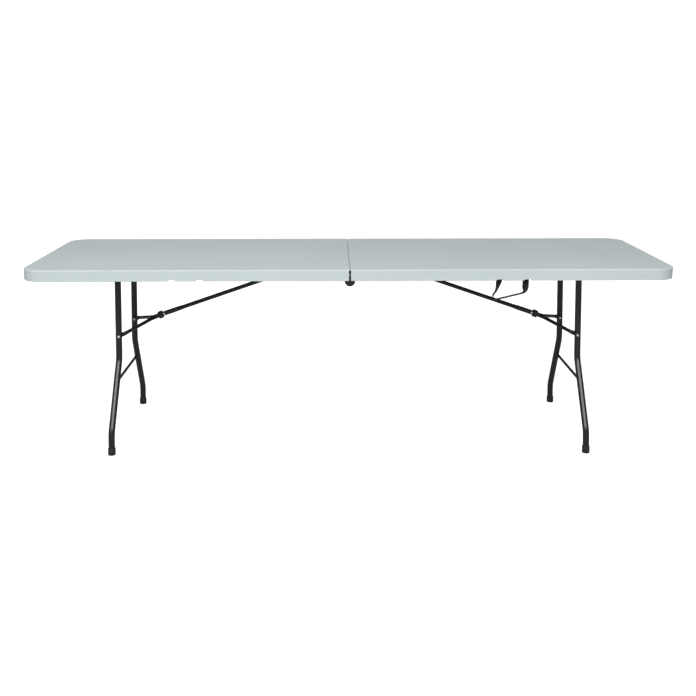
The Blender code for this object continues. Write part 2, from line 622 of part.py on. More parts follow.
def strap_stations():
    """(x, y, z, twist) down one end of the strap, round its low loop and up to the other end.
    twist is 0 where the webbing faces the long side and 1 where it lies edge-on to it."""
    top, low = SKIRT_Z + NOTCH_H + 0.012, SKIRT_Z + 0.004
    near, far = STRAP_ENDS
    hang = [(near - 0.0005, 0.0050, 0.05), (near - 0.002, 0.0130, 0.30), (near - 0.004, 0.0200, 0.55),
            (near - 0.0065, 0.0290, 0.80), (near - 0.009, 0.0380, 1.0), (near - 0.0160, 0.0490, 1.0),
            (near - 0.0225, 0.0570, 1.0), (near - 0.0243, 0.0635, 1.0), (near - 0.0225, 0.0700, 1.0),
            (near - 0.0180, 0.0745, 1.0), (near - 0.0122, 0.0760, 1.0), (near, 0.0733, 1.0),
            (near + 0.0150, 0.0698, 1.0), (near + 0.0289, 0.0667, 1.0), (far - 0.0442, 0.0603, 1.0),
            (far - 0.0180, 0.0542, 1.0), (far - 0.0087, 0.0508, 1.0), (far - 0.0032, 0.0455, 0.88),
            (far - 0.0012, 0.0395, 0.60), (far - 0.0002, 0.0330, 0.32), (far, 0.0265, 0.10),
            (far, 0.0190, 0.0)]   # drop below the skirt
    drops = [(near, SKIRT_Z - top, 0.0), (near, SKIRT_Z - low, 0.0), *hang,
             (far, SKIRT_Z - low, 0.0), (far, SKIRT_Z - top, 0.0)]
    return [(x, -STRAP_Y + 0.004 * eased(min(max(drop - 0.007, 0.0) / 0.03, 1.0)), SKIRT_Z - drop, k)
            for x, drop, k in drops]


def strap_ribbon(bm, stations, width, thick):
    rings = []
    for i, (x, y, z, k) in enumerate(stations):
        xa, _, za, _ = stations[max(i - 1, 0)]
        xb, _, zb, _ = stations[min(i + 1, len(stations) - 1)]
        run = Vector((xb - xa, 0, zb - za)).normalized()
        side_on = Vector((0, 1, 0))
        face = run.cross(side_on)
        t = k * pi / 2
        across = face * cos(t) + side_on * sin(t)
        out = run.cross(across).normalized()
        mid = Vector((x, y, z))
        rings.append([mid + across * a * width / 2 + out * b * thick / 2
                      for a, b in ((-1, -1), (1, -1), (1, 1), (-1, 1))])
    loft(bm, rings)


def carry_strap(root):
    bm = bmesh.new()
    strap_ribbon(bm, strap_stations(), STRAP_W, STRAP_T)
    ob = emit("carry_strap", bm, WEBBING, root)
    return ob


def strap_anchor(name, x, root):
    """Small plate that clamps a strap end against the inside of the rim."""
    y0 = -STRAP_Y + STRAP_T / 2 + FIT
    bm = bmesh.new()
    box(bm, (x - 0.015, y0, SKIRT_Z + 0.0035), (x + 0.015, y0 + ANCHOR_T, SKIRT_Z + 0.0165))
    bmesh.ops.bevel(bm, geom=[e for e in bm.edges if abs(e.verts[0].co.y - e.verts[1].co.y) > 0.001],
                    offset=0.0025, segments=2, affect="EDGES", profile=0.5, material=-1)
    return emit(name, bm, RAIL_PAINT, root)


# ---- assembly -----------------------------------------------------------------------------------------
def assemble(side):
    sx = -1 if side == "left" else 1
    root = anchor(side + "_half", (0, 0, HINGE_Z))
    moulded_half(side, root)
    cross_rail(side, root)
    brace_bracket(side, root)
    headed_pin(side + "_brace_pin", side, root, (-BRACE_X, 0, BRACE_Z), 0.004, 0.0062,
               -0.0068 - FIT, 0.0068 + FIT, ZINC, 0.0016)
    frame = anchor(side + "_leg_frame", (sx * PIVOT_X, 0, PIVOT_Z), root)
    pivot_tube(side, frame)
    leg_crossbar(side, frame)
    hinge = anchor(side + "_brace_hinge", (sx * BRACE_X, 0, BRACE_Z), root)
    brace_bar(side, hinge)
    joint = anchor(side + "_brace_joint", (-sx * JOINT[0], 0, JOINT[1]), hinge)
    lock_ring(side, hinge)
    grip = BLADE_T / 2 + FIT + PLATE_T + FIT
    headed_pin(side + "_brace_rivet", side, joint, (JOINT[0], 0, JOINT[1]), RIVET_R, RIVET_HEAD_R,
               -grip, grip, ZINC)
    for edge in ("front", "back"):
        side_rail(side, edge, root)
        hinge_leaf(side, edge, root)
        pivot_plug(side, edge, frame)
        leg_tube(side, edge, frame)
        foot_cap(side, edge, frame)
        leg_rivet(side, edge, frame)
        fork_arm(side, edge, joint)
    return root


left = assemble("left")
right = assemble("right")
for edge, s in (("front", -1), ("back", 1)):
    mid = s * (RAIL_Y + (FIT + LEAF_T - SHEET - FIT - LEAF_T) / 2)
    reach = (SHEET + 2 * FIT + 2 * LEAF_T) / 2 + FIT
    headed_pin("hinge_pin_" + edge, "left", left, (0, mid, HINGE_Z), HINGE_PIN_R, HINGE_HEAD_R,
               -reach, reach, RAIL_PAINT, HEAD_H)
carry_strap(right)
for label, x in zip(("inner", "outer"), STRAP_ENDS):
    strap_anchor("strap_anchor_" + label, x, right)

print("leg travel", round(90 + degrees(LEAN), 3), "brace travel", round(degrees(BRACE_TILT - FLAT_TILT), 3),
      "fork on brace", round(degrees(FLAT_FORK - FORK_TILT + BRACE_TILT - FLAT_TILT) % 360, 3))
print("joint", [round(v, 4) for v in JOINT], "flat joint", [round(v, 4) for v in FLAT_JOINT],
      "fork", round(FORK_LEN, 5), "bar", round(BRACE_LEN, 5), "tilt", round(degrees(BRACE_TILT), 3))
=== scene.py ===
# %% [markdown]
# # Folding table: the look of the piece around its fixed frame
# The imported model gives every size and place. The steel and plastic pieces that show are
# drawn again here with fine edges, welds, weave and moulded grain, each riding on the body
# it belongs to. Metres, +Z up, feet on Z = 0, the strap on the -Y side.

# %% Load the frame
import json
from math import atan2, cos, hypot, pi, radians, sin

import bmesh
import bpy
from mathutils import Matrix, Vector


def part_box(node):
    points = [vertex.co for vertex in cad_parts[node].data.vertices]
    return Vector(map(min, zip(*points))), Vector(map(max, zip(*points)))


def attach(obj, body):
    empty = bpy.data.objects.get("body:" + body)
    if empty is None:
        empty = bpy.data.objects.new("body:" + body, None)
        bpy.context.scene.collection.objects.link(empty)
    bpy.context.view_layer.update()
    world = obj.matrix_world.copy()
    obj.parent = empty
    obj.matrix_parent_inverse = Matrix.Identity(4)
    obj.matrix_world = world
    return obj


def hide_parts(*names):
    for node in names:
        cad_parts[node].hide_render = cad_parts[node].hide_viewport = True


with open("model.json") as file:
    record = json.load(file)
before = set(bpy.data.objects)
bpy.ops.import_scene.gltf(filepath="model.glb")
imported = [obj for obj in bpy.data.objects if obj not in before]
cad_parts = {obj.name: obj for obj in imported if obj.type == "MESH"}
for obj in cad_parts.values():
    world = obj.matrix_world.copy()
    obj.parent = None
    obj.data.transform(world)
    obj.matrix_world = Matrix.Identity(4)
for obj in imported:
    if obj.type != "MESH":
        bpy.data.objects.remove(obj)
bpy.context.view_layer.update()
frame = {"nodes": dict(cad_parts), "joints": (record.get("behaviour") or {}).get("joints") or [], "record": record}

# %% [markdown]
# ## Sizes
# Most come from the boxes of the CAD nodes and from the joints. The rest are the few
# dimensions a box can't give, such as a bend's height or a sheet's thickness. Another way
# would be to read the CAD meshes point by point, but named sizes are easier to change.

# %% Sizes from the frame
NODES = frame["nodes"]
JOINT_AT = {j["name"]: Vector(j["pos_m"]) for j in frame["joints"] if "pos_m" in j}
top_low, top_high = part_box("left_top")
END_X, SIDE_Y = -top_low.x, top_high.y          # half length and half width of the open table
TOP_Z, SKIRT_Z, SEAM_X = top_high.z, top_low.z, -top_high.x
rail_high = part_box("left_rail_front")[1]
UNDER_Z = rail_high.z + 0.0003                  # underside of the moulded field
PIVOT, FOLD = JOINT_AT["left_leg_fold"], JOINT_AT["centre_fold"]
BRACE_PIN, BRACE_JOINT = JOINT_AT["left_brace_swing"], JOINT_AT["left_fork_swing"]
tube_low, tube_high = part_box("left_pivot_tube")
TUBE_R = (tube_high.z - tube_low.z) / 2
MOUNT_AT = {m["name"]: Vector(m["pos_m"]) for m in frame["record"]["mounts"]}
FOOT = MOUNT_AT["foot_left_front"]
LEG_Y_FOOT = -FOOT.y
LEG_LEN = hypot(PIVOT.x - FOOT.x, PIVOT.z)
LEAN = atan2(PIVOT.x - FOOT.x, PIVOT.z)
rivet_low, rivet_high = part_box("left_leg_rivet_front")
FORK_END = (rivet_low + rivet_high) / 2

# moulded halves
RIM, SEAM_RIM, SEAM_RIM_HEIGHT = 0.022, 0.016, 0.0290
CORNER_R, SEAM_CORNER_R, EDGE_R = 0.078, 0.007, 0.004
LIP_X = 0.0003                    # half the gap where the moulded lips meet at the fold
NOTCH_X, NOTCH_W, NOTCH_H = (0.556, 0.659), 0.030, 0.0055
DIMPLE_PITCH, DIMPLE_R, DIMPLE_DEPTH = 0.058, 0.0095, 0.0105
# legs
LEG_Y_TOP = 0.1515
BEND_TOP, BEND_FOOT, BEND_R = 0.338, 0.083, 0.070
CAP_R, CAP_H = 0.0148, 0.027
BAR_DOWN, BAR_OFFSET, BAR_R = 0.461, 0.0095, 0.0055
FIT = 0.0003
# braces
BRACE_R, ARM_R = 0.0083, 0.0070
BLADE_T, BLADE_H, TAIL = 0.0060, 0.0196, 0.026
PLATE_T, PLATE_H, LAP_GAP = 0.0045, 0.0180, 0.0004
RING_W, RING_T, RING_Y, RING_Z, RING_AT = 0.016, 0.0025, 0.0118, 0.0117, 0.0145
# strap
STRAP_W, STRAP_T, STRAP_Y = 0.0245, 0.0017, 0.3555
STRAP_ENDS = (0.5570, 0.6560)
print(f"open table {2 * END_X:.3f} x {2 * SIDE_Y:.3f} x {TOP_Z:.3f} m")

# %% [markdown]
# ## Colours and nodes
# Colours are written as sRGB hex, as a paint chip is read, and turned to linear light once.

# %% Colour and node helpers
def linear(code):
    """'#rrggbb' in sRGB to a linear colour."""
    out = []
    for i in (1, 3, 5):
        c = int(code[i:i + 2], 16) / 255
        out.append(c / 12.92 if c <= 0.04045 else ((c + 0.055) / 1.055) ** 2.4)
    return (*out, 1.0)


def add(tree, kind, inputs=None, **settings):
    """Adds a shader node. Each input is a constant or a socket to link, by name or number."""
    made = tree.nodes.new("ShaderNode" + kind)
    for key, value in settings.items():
        setattr(made, key, value)
    for key, value in (inputs or {}).items():
        if isinstance(value, bpy.types.NodeSocket):
            tree.links.new(value, made.inputs[key])
        else:
            made.inputs[key].default_value = value
    return made


def new_material(name):
    mat = bpy.data.materials.new(name)
    mat.use_nodes = True
    tree = mat.node_tree
    return mat, tree, tree.nodes["Principled BSDF"]


def wire(tree, source, target):
    tree.links.new(source, target)


def per_mm(size_mm):
    """Texture scale that gives features of this size when the coordinates are metres."""
    return 1000.0 / size_mm


def blended(tree, low, high, factor):
    """Colour between two hex codes by a 0 to 1 socket."""
    mix = add(tree, "Mix", {"Factor": factor}, data_type="RGBA")
    mix.inputs[6].default_value = linear(low)
    mix.inputs[7].default_value = linear(high)
    return mix.outputs[2]


def ranged(tree, socket, low, high):
    """Maps a 0.3 to 0.7 noise onto low to high."""
    return add(tree, "MapRange", {"Value": socket, "From Min": 0.3, "From Max": 0.7,
                                  "To Min": low, "To Max": high}).outputs[0]


def relief(tree, height, depth, strength=1.0, under=None):
    inputs = {"Height": height, "Distance": depth, "Strength": strength}
    if under:
        inputs["Normal"] = under
    return add(tree, "Bump", inputs).outputs[0]

# %% [markdown]
# ## Finishes
# Each one starts from what the eye sees on the real thing: the moulded plastic is a cool
# grey-white with a fine pebble grain that keeps highlights soft; the steel is powder coated,
# so it is dark with a slight orange peel; the rivets are bright zinc; the strap is a plain
# weave. Patterns are solid textures in object space, so they run over edges without a seam.

# %% Moulded and painted finishes
def fold_painted_shade(tree, place, clean):
    """Painted shade on the two faces that close on each other at the fold, below their edge, where light hardly
    gets into the gap; there the reflection is taken away too.
    """
    part = add(tree, "SeparateXYZ", {0: place})
    off = add(tree, "Math", {0: part.outputs[0]}, operation="ABSOLUTE").outputs[0]
    outer = add(tree, "Math", {0: part.outputs[1]}, operation="ABSOLUTE").outputs[0]

    def fade(value, near, far):
        """1 up to near, 0 from far on."""
        return add(tree, "MapRange", {"Value": value, "From Min": near, "From Max": far,
                                      "To Min": 1.0, "To Max": 0.0}).outputs[0]

    # painted shade deep in the gap along its length, and wider and nearer the top edge where the gap's rounded
    # corners meet the front and back skirts
    within = add(tree, "Math", {0: fade(off, LIP_X + 0.0006, LIP_X + 0.0016),
                                1: fade(part.outputs[2], TOP_Z - 0.014, TOP_Z - 0.006)},
                 operation="MULTIPLY").outputs[0]
    ends = add(tree, "Math", {0: fade(off, LIP_X + 0.0028, LIP_X + 0.0042),
                              1: fade(part.outputs[2], TOP_Z - 0.005, TOP_Z - 0.002)},
               operation="MULTIPLY").outputs[0]
    ends = add(tree, "Math", {0: ends, 1: fade(outer, SIDE_Y - 0.012, SIDE_Y - 0.009)},
               operation="SUBTRACT", use_clamp=True).outputs[0]
    gap_shade = add(tree, "Math", {0: within, 1: ends}, operation="MAXIMUM").outputs[0]
    # the painted shade's dark grey, and no reflection where it lies
    mix = add(tree, "Mix", {"Factor": gap_shade, 6: clean}, data_type="RGBA")
    mix.inputs[7].default_value = linear("#2b3232")
    gap_specular = add(tree, "MapRange", {"Value": gap_shade, "To Min": 0.42, "To Max": 0.0}).outputs[0]
    return mix.outputs[2], gap_specular


def moulded_plastic():
    """Blow-moulded HDPE: satin grey-white, pebbled by the mould, faintly uneven where it cooled."""
    mat, tree, bsdf = new_material("hdpe_blow_moulded_grey_white")
    place = add(tree, "TexCoord").outputs["Object"]
    broad = add(tree, "TexNoise", {"Vector": place, "Scale": 2.2, "Detail": 2.0}).outputs[0]
    grain = add(tree, "TexVoronoi", {"Vector": place, "Scale": per_mm(1.6), "Smoothness": 0.6},
                feature="SMOOTH_F1").outputs[0]
    fine = add(tree, "TexNoise", {"Vector": place, "Scale": per_mm(0.7), "Detail": 3.0}).outputs[0]
    sink = add(tree, "TexNoise", {"Vector": place, "Scale": per_mm(90.0), "Detail": 1.0}).outputs[0]
    clean = blended(tree, "#aeb7b7", "#b3bcbc", ranged(tree, broad, 0.0, 1.0))
    # painted shade in the fold's gap, which also takes away the reflection there
    colour, plastic_specular = fold_painted_shade(tree, place, clean)
    wire(tree, colour, bsdf.inputs["Base Color"])
    wire(tree, plastic_specular, bsdf.inputs["Specular IOR Level"])
    wire(tree, ranged(tree, fine, 0.44, 0.56), bsdf.inputs["Roughness"])
    under = relief(tree, sink, 0.0012, 0.35)
    under = relief(tree, grain, 0.00010, 0.55, under)
    wire(tree, relief(tree, fine, 0.00005, 0.5, under), bsdf.inputs["Normal"])
    return mat


def powder_coat(name, low, high, gloss):
    """Baked powder on steel: even dark colour, a slight orange peel, tiny dust nibs."""
    mat, tree, bsdf = new_material(name)
    place = add(tree, "TexCoord").outputs["Object"]
    broad = add(tree, "TexNoise", {"Vector": place, "Scale": 9.0, "Detail": 3.0}).outputs[0]
    peel = add(tree, "TexNoise", {"Vector": place, "Scale": per_mm(1.3), "Detail": 2.0}).outputs[0]
    nibs = add(tree, "TexNoise", {"Vector": place, "Scale": per_mm(0.35), "Detail": 2.0}).outputs[0]
    wire(tree, blended(tree, low, high, ranged(tree, broad, 0.0, 1.0)), bsdf.inputs["Base Color"])
    wire(tree, ranged(tree, peel, gloss - 0.04, gloss + 0.05), bsdf.inputs["Roughness"])
    bsdf.inputs["Specular IOR Level"].default_value = 0.52
    under = relief(tree, peel, 0.00009, 0.5)
    wire(tree, relief(tree, nibs, 0.00003, 0.4, under), bsdf.inputs["Normal"])
    return mat


def zinc_plate():
    """Bright zinc on headed rivets: pale, slightly blue metal with fine tumbling marks."""
    mat, tree, bsdf = new_material("zinc_plated_steel")
    place = add(tree, "TexCoord").outputs["Object"]
    marks = add(tree, "TexNoise", {"Vector": place, "Scale": per_mm(0.8), "Detail": 4.0}).outputs[0]
    wire(tree, blended(tree, "#c9ccce", "#e4e6e6", ranged(tree, marks, 0.0, 1.0)), bsdf.inputs["Base Color"])
    wire(tree, ranged(tree, marks, 0.24, 0.40), bsdf.inputs["Roughness"])
    bsdf.inputs["Metallic"].default_value = 1.0
    wire(tree, relief(tree, marks, 0.00004, 0.5), bsdf.inputs["Normal"])
    return mat


def black_polymer():
    """Injection-moulded black plastic: near black, satin, with a fine spark-eroded grain."""
    mat, tree, bsdf = new_material("black_injection_moulded_plastic")
    place = add(tree, "TexCoord").outputs["Object"]
    grain = add(tree, "TexNoise", {"Vector": place, "Scale": per_mm(0.5), "Detail": 3.0}).outputs[0]
    broad = add(tree, "TexNoise", {"Vector": place, "Scale": per_mm(30.0), "Detail": 2.0}).outputs[0]
    wire(tree, blended(tree, "#0d0e0e", "#151616", ranged(tree, broad, 0.0, 1.0)), bsdf.inputs["Base Color"])
    wire(tree, ranged(tree, grain, 0.42, 0.58), bsdf.inputs["Roughness"])
    wire(tree, relief(tree, grain, 0.00005, 0.6), bsdf.inputs["Normal"])
    return mat


# %% Woven finish
def webbing():
    """Black polypropylene webbing in plain weave, from the strap's own UV map in metres."""
    mat, tree, bsdf = new_material("polypropylene_webbing_black")
    uv = add(tree, "UVMap", uv_map="along_across").outputs[0]
    split = add(tree, "SeparateXYZ", {0: uv})

    def wave(socket, pitch_mm, shift=0.0):
        turn = add(tree, "Math", {0: socket, 1: 2 * pi * 1000.0 / pitch_mm, 2: shift},
                   operation="MULTIPLY_ADD").outputs[0]
        return add(tree, "Math", {0: turn}, operation="SINE").outputs[0]

    along, across = wave(split.outputs[0], 2.4), wave(split.outputs[1], 3.0)
    weave = add(tree, "Math", {0: along, 1: across}, operation="MULTIPLY").outputs[0]
    height = add(tree, "MapRange", {"Value": weave, "From Min": -1.0, "From Max": 1.0}).outputs[0]
    fuzz = add(tree, "TexNoise", {"Vector": uv, "Scale": per_mm(0.6), "Detail": 3.0}).outputs[0]
    wire(tree, blended(tree, "#030304", "#0b0c0d", height), bsdf.inputs["Base Color"])
    wire(tree, ranged(tree, fuzz, 0.72, 0.9), bsdf.inputs["Roughness"])
    bsdf.inputs["Sheen Weight"].default_value = 0.08
    bsdf.inputs["Sheen Roughness"].default_value = 0.5
    under = relief(tree, height, 0.0004, 0.8)
    wire(tree, relief(tree, fuzz, 0.0001, 0.5, under), bsdf.inputs["Normal"])
    return mat


HDPE = moulded_plastic()
LEG_PAINT = powder_coat("powder_coat_dark_grey", "#0c0e0e", "#121414", 0.33)
RAIL_PAINT = powder_coat("powder_coat_charcoal_rails", "#131516", "#191c1d", 0.38)
ZINC, BLACK, WEB = zinc_plate(), black_polymer(), webbing()
print("finishes:", ", ".join(m.name for m in (HDPE, LEG_PAINT, RAIL_PAINT, ZINC, BLACK, WEB)))

# %% [markdown]
# ## Shape tools
# Every piece is drawn in place for the left half and mirrored for the right one, so the two
# can't drift apart. Round work is lofted from rings; sharp edges are marked by their angle.

# %% Shape tools
def loft(bm, rings, closed=False):
    """Joins rings of equal count; closes the ends, or the last ring to the first."""
    loops = [[bm.verts.new(p) for p in ring] for ring in rings]
    pairs = list(zip(loops, loops[1:])) + ([(loops[-1], loops[0])] if closed else [])
    n = len(loops[0])
    for a, b in pairs:
        for i in range(n):
            bm.faces.new((a[i], a[(i + 1) % n], b[(i + 1) % n], b[i]))
    if not closed:
        bm.faces.new(loops[0][::-1])
        bm.faces.new(loops[-1])
    return loops


def box(bm, low, high):
    made = bmesh.ops.create_cube(bm, size=1.0)["verts"]
    bmesh.ops.scale(bm, vec=[b - a for a, b in zip(low, high)], verts=made)
    bmesh.ops.translate(bm, vec=[(a + b) / 2 for a, b in zip(low, high)], verts=made)
    return made


def circle(r, count):
    return [(r * cos(t), r * sin(t)) for t in (2 * pi * (i + 0.5) / count for i in range(count))]


def arc(cx, cy, r, start, end, steps):
    turns = [radians(start + (end - start) * i / steps) for i in range(steps + 1)]
    return [(cx + r * cos(t), cy + r * sin(t)) for t in turns]


def turned(bm, centre, axis, profile, count=36):
    """Solid of revolution from (distance along the axis, radius) pairs."""
    z = Vector(axis).normalized()
    x = z.orthogonal().normalized()
    y = z.cross(x)
    loft(bm, [[Vector(centre) + z * along + x * a + y * b for a, b in circle(r, count)]
              for along, r in profile])


def rounded_head(start, r, h, steps=7):
    """Profile of a domed head with a short rolled edge, rising from start by h."""
    return [(start, r * 0.97), (start + h * 0.12, r)] + [
        (start + h * (0.12 + 0.88 * sin(pi / 2 * i / steps)), r * cos(pi / 2 * i / steps) + 0.0002)
        for i in range(1, steps + 1)]


def tube_along(bm, path, r, count=12, closed=False, swell=None):
    """Round bead or wire along world points; swell gives the radius factor at each point."""
    rings = []
    n = len(path)
    normal = None
    for i, p in enumerate(path):
        ahead = path[(i + 1) % n] if closed else path[min(i + 1, n - 1)]
        back = path[(i - 1) % n] if closed else path[max(i - 1, 0)]
        run = (Vector(ahead) - Vector(back)).normalized()
        if normal is None:
            normal = run.orthogonal().normalized()
        normal = (normal - run * normal.dot(run)).normalized()
        side = run.cross(normal)
        size = r * (swell(i) if swell else 1.0)
        rings.append([Vector(p) + normal * a + side * b for a, b in circle(size, count)])
    loft(bm, rings, closed)


def made_piece(name, bm, look, body, side="left", sharp=32):
    """Turns a bmesh drawn in place for the left half into a piece that rides on its body."""
    if side == "right":
        bmesh.ops.scale(bm, vec=(-1, 1, 1), verts=bm.verts)
    bmesh.ops.recalc_face_normals(bm, faces=bm.faces)
    mesh = bpy.data.meshes.new(name)
    bm.to_mesh(mesh)
    bm.free()
    for poly in mesh.polygons:
        poly.use_smooth = True
    mesh.set_sharp_from_angle(angle=radians(sharp))
    ob = bpy.data.objects.new(name, mesh)
    bpy.context.scene.collection.objects.link(ob)
    mesh.materials.append(look)
    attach(ob, body)
    return ob


def carve(ob, bm, side="left"):
    """Takes a bmesh drawn for the left half out of a piece, and keeps the result as its mesh."""
    if side == "right":
        bmesh.ops.scale(bm, vec=(-1, 1, 1), verts=bm.verts)
    bmesh.ops.recalc_face_normals(bm, faces=bm.faces)
    mesh = bpy.data.meshes.new("carving")
    bm.to_mesh(mesh)
    bm.free()
    tool = bpy.data.objects.new("carving", mesh)
    bpy.context.scene.collection.objects.link(tool)
    mod = ob.modifiers.new("carve", "BOOLEAN")
    mod.operation, mod.object, mod.use_self = "DIFFERENCE", tool, True
    bpy.context.view_layer.update()
    result = bpy.data.meshes.new_from_object(ob.evaluated_get(bpy.context.evaluated_depsgraph_get()))
    ob.modifiers.clear()
    old, ob.data = ob.data, result
    bpy.data.meshes.remove(old)
    bpy.data.objects.remove(tool)
    bpy.data.meshes.remove(mesh)


def sharpen(ob, angle):
    for poly in ob.data.polygons:
        poly.use_smooth = True
    ob.data.set_sharp_from_angle(angle=radians(angle))
    mod = ob.modifiers.new("even_shading", "WEIGHTED_NORMAL")
    mod.keep_sharp = True

# %% [markdown]
# ## Moulded halves
# A blow-moulded top is one hollow shell: a flat field, a rounded edge, a deep skirt, and a
# lower wall pressed up into rows of dimples that meet the upper wall and keep it stiff. It
# could be a box with a bevel, but the skirt's draft, its lip and the rows of dimples are
# what say moulded, so the outline is lofted and the recess and dimples are carved from it.

# %% Moulded halves
def plan(inset, steps=(20, 5)):
    """Outline of the left half seen from above, anticlockwise."""
    r, q = CORNER_R - inset, max(SEAM_CORNER_R - inset, 0.001)
    x0, x1, y = -END_X + inset, -LIP_X - inset, SIDE_Y - inset
    return (arc(x0 + r, -y + r, r, 180, 270, steps[0]) + arc(x1 - q, -y + q, q, 270, 360, steps[1])
            + arc(x1 - q, y - q, q, 0, 90, steps[1]) + arc(x0 + r, y - r, r, 90, 180, steps[0]))


def shell_rings():
    """(inset, height) of the outside, from the foot of the skirt to the field."""
    out = [(0.0046, SKIRT_Z + 0.0004), (0.0026, SKIRT_Z), (0.0012, SKIRT_Z + 0.0005),
           (0.0004, SKIRT_Z + 0.0016), (0.0, SKIRT_Z + 0.0030), (0.0003, SKIRT_Z + 0.0052),
           (0.0006, SKIRT_Z + 0.0070), (0.0002, TOP_Z - EDGE_R - 0.002)]
    for i in range(8):
        t = pi / 2 * i / 7
        out.append((EDGE_R * (1 - cos(t)), TOP_Z - EDGE_R * (1 - sin(t))))
    return out + [(EDGE_R + 0.004, TOP_Z), (EDGE_R + 0.030, TOP_Z)]


def dimple(bm, x, y):
    """Conical kiss-off pressed up from the lower wall."""
    turned(bm, (x, y, 0), (0, 0, 1),
           [(UNDER_Z - 0.004, DIMPLE_R + 0.0022), (UNDER_Z - 0.0002, DIMPLE_R + 0.0020),
            (UNDER_Z + 0.0008, DIMPLE_R + 0.0006), (UNDER_Z + 0.0022, DIMPLE_R - 0.0004),
            (UNDER_Z + DIMPLE_DEPTH - 0.0022, DIMPLE_R * 0.62),
            (UNDER_Z + DIMPLE_DEPTH - 0.0006, DIMPLE_R * 0.52),
            (UNDER_Z + DIMPLE_DEPTH, DIMPLE_R * 0.32)], 18)


def moulded_half(side):
    bm = bmesh.new()
    loft(bm, [[(x, y, z) for x, y in plan(inset)] for inset, z in shell_rings()])
    ob = made_piece(side + "_moulded_top", bm, HDPE, side + "_half", side)

    x0, x1, half = -END_X + RIM, -SEAM_X - SEAM_RIM, SIDE_Y - RIM
    bm = bmesh.new()
    rings = []
    for z, grow in ((SKIRT_Z - 0.01, 0.0050), (SKIRT_Z + 0.0008, 0.0026), (SKIRT_Z + 0.0030, 0.0014),
                    (UNDER_Z - 0.004, -0.0002), (UNDER_Z - 0.0012, -0.0012), (UNDER_Z, -0.0040)):
        r = CORNER_R - RIM + grow
        ring = (arc(x0 - grow + r, -half - grow + r, r, 180, 270, 14)
                + arc(x1 + grow - 0.006, -half - grow + 0.006, 0.006, 270, 360, 4)
                + arc(x1 + grow - 0.006, half + grow - 0.006, 0.006, 0, 90, 4)
                + arc(x0 - grow + r, half + grow - r, r, 90, 180, 14))
        rings.append([(x, y, z) for x, y in ring])
    loft(bm, rings)
    box(bm, (x1 - 0.02, -half + 0.004, SKIRT_Z - 0.01), (0.01, half - 0.004, TOP_Z - SEAM_RIM_HEIGHT))
    for x in NOTCH_X:
        ring = [(-x - NOTCH_W / 2, SKIRT_Z - 0.003), (-x + NOTCH_W / 2, SKIRT_Z - 0.003),
                (-x + NOTCH_W / 2 - 0.004, SKIRT_Z + NOTCH_H), (-x - NOTCH_W / 2 + 0.004, SKIRT_Z + NOTCH_H)]
        loft(bm, [[(a, y, b) for a, b in ring] for y in (-SIDE_Y - 0.01, -half + 0.01)])
    carve(ob, bm, side)

    # rows of dimples, staggered, clear of the rails, the cross rail and the rounded corners
    bm = bmesh.new()
    reach = -rail_high.y - 0.018          # between the rails' flanges
    rows = int(2 * reach / (DIMPLE_PITCH * 0.866))
    count = 0
    for j in range(rows + 1):
        y = -reach + 2 * reach * j / rows
        x = x0 + 0.028 + (j % 2) * DIMPLE_PITCH / 2
        while x < -0.092:
            if not (x < x0 + 0.05 and abs(y) > half - 0.05):
                dimple(bm, x, y)
                count += 1
            x += DIMPLE_PITCH
    turned(bm, (-0.30, 0.22, 0), (0, 0, 1), [(UNDER_Z - 0.004, 0.003), (UNDER_Z + 0.009, 0.003)], 16)
    carve(ob, bm, side)
    sharpen(ob, 34)
    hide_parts(side + "_top")
    print(ob.name, "with", count, "dimples,", len(ob.data.polygons), "faces")


for side in ("left", "right"):
    moulded_half(side)

# %% [markdown]
# ## Leg frames
# Each frame is two bent tubes welded to a pivot tube at the top, with a thin bar lower down.
# A curve with a bevel would make the tube, but lofted rings keep the bend's real radius and
# let the weld beads sit exactly where tube meets tube.

# %% Leg tubes
def leg_place(along, out, y):
    """Place of a point of the left leg frame: along the leg from its pivot, and toward the fold."""
    return Vector((PIVOT.x - along * sin(LEAN) + out * cos(LEAN), y,
                   PIVOT.z - along * cos(LEAN) - out * sin(LEAN)))


def leg_path(s, steps=14):
    """(along, y) points of a leg's centre line, with an arc at each bend."""
    top, foot = PIVOT.z - BEND_TOP, PIVOT.z - BEND_FOOT
    slope = atan2(LEG_Y_FOOT - LEG_Y_TOP, foot - top)
    back = BEND_R * (1 - cos(slope)) / sin(slope)
    pts = [(TUBE_R * 0.4, LEG_Y_TOP)]
    for i in range(steps + 1):
        t = slope * i / steps
        pts.append((top - back + BEND_R * sin(t), LEG_Y_TOP + BEND_R * (1 - cos(t))))
    for i in range(steps + 1):
        t = slope * (steps - i) / steps
        pts.append((foot + back - BEND_R * sin(t), LEG_Y_FOOT - BEND_R * (1 - cos(t))))
    pts.append((LEG_LEN - 0.006, LEG_Y_FOOT))
    return [(a, s * y) for a, y in pts]


def leg_rings(s, r, count=40):
    pts = leg_path(s)
    rings = []
    for i, (a, y) in enumerate(pts):
        (a0, y0), (a1, y1) = pts[max(i - 1, 0)], pts[min(i + 1, len(pts) - 1)]
        turn = atan2(y1 - y0, a1 - a0) if 0 < i < len(pts) - 1 else 0.0
        rings.append([leg_place(a - u * sin(turn), v, y + u * cos(turn)) for u, v in circle(r, count)])
    return rings


def bead(bm, path, r=0.0017):
    """Weld bead: a thin run of overlapping puddles."""
    tube_along(bm, path, r, 8, True, lambda i: 1.0 + 0.16 * sin(i * 2.1))


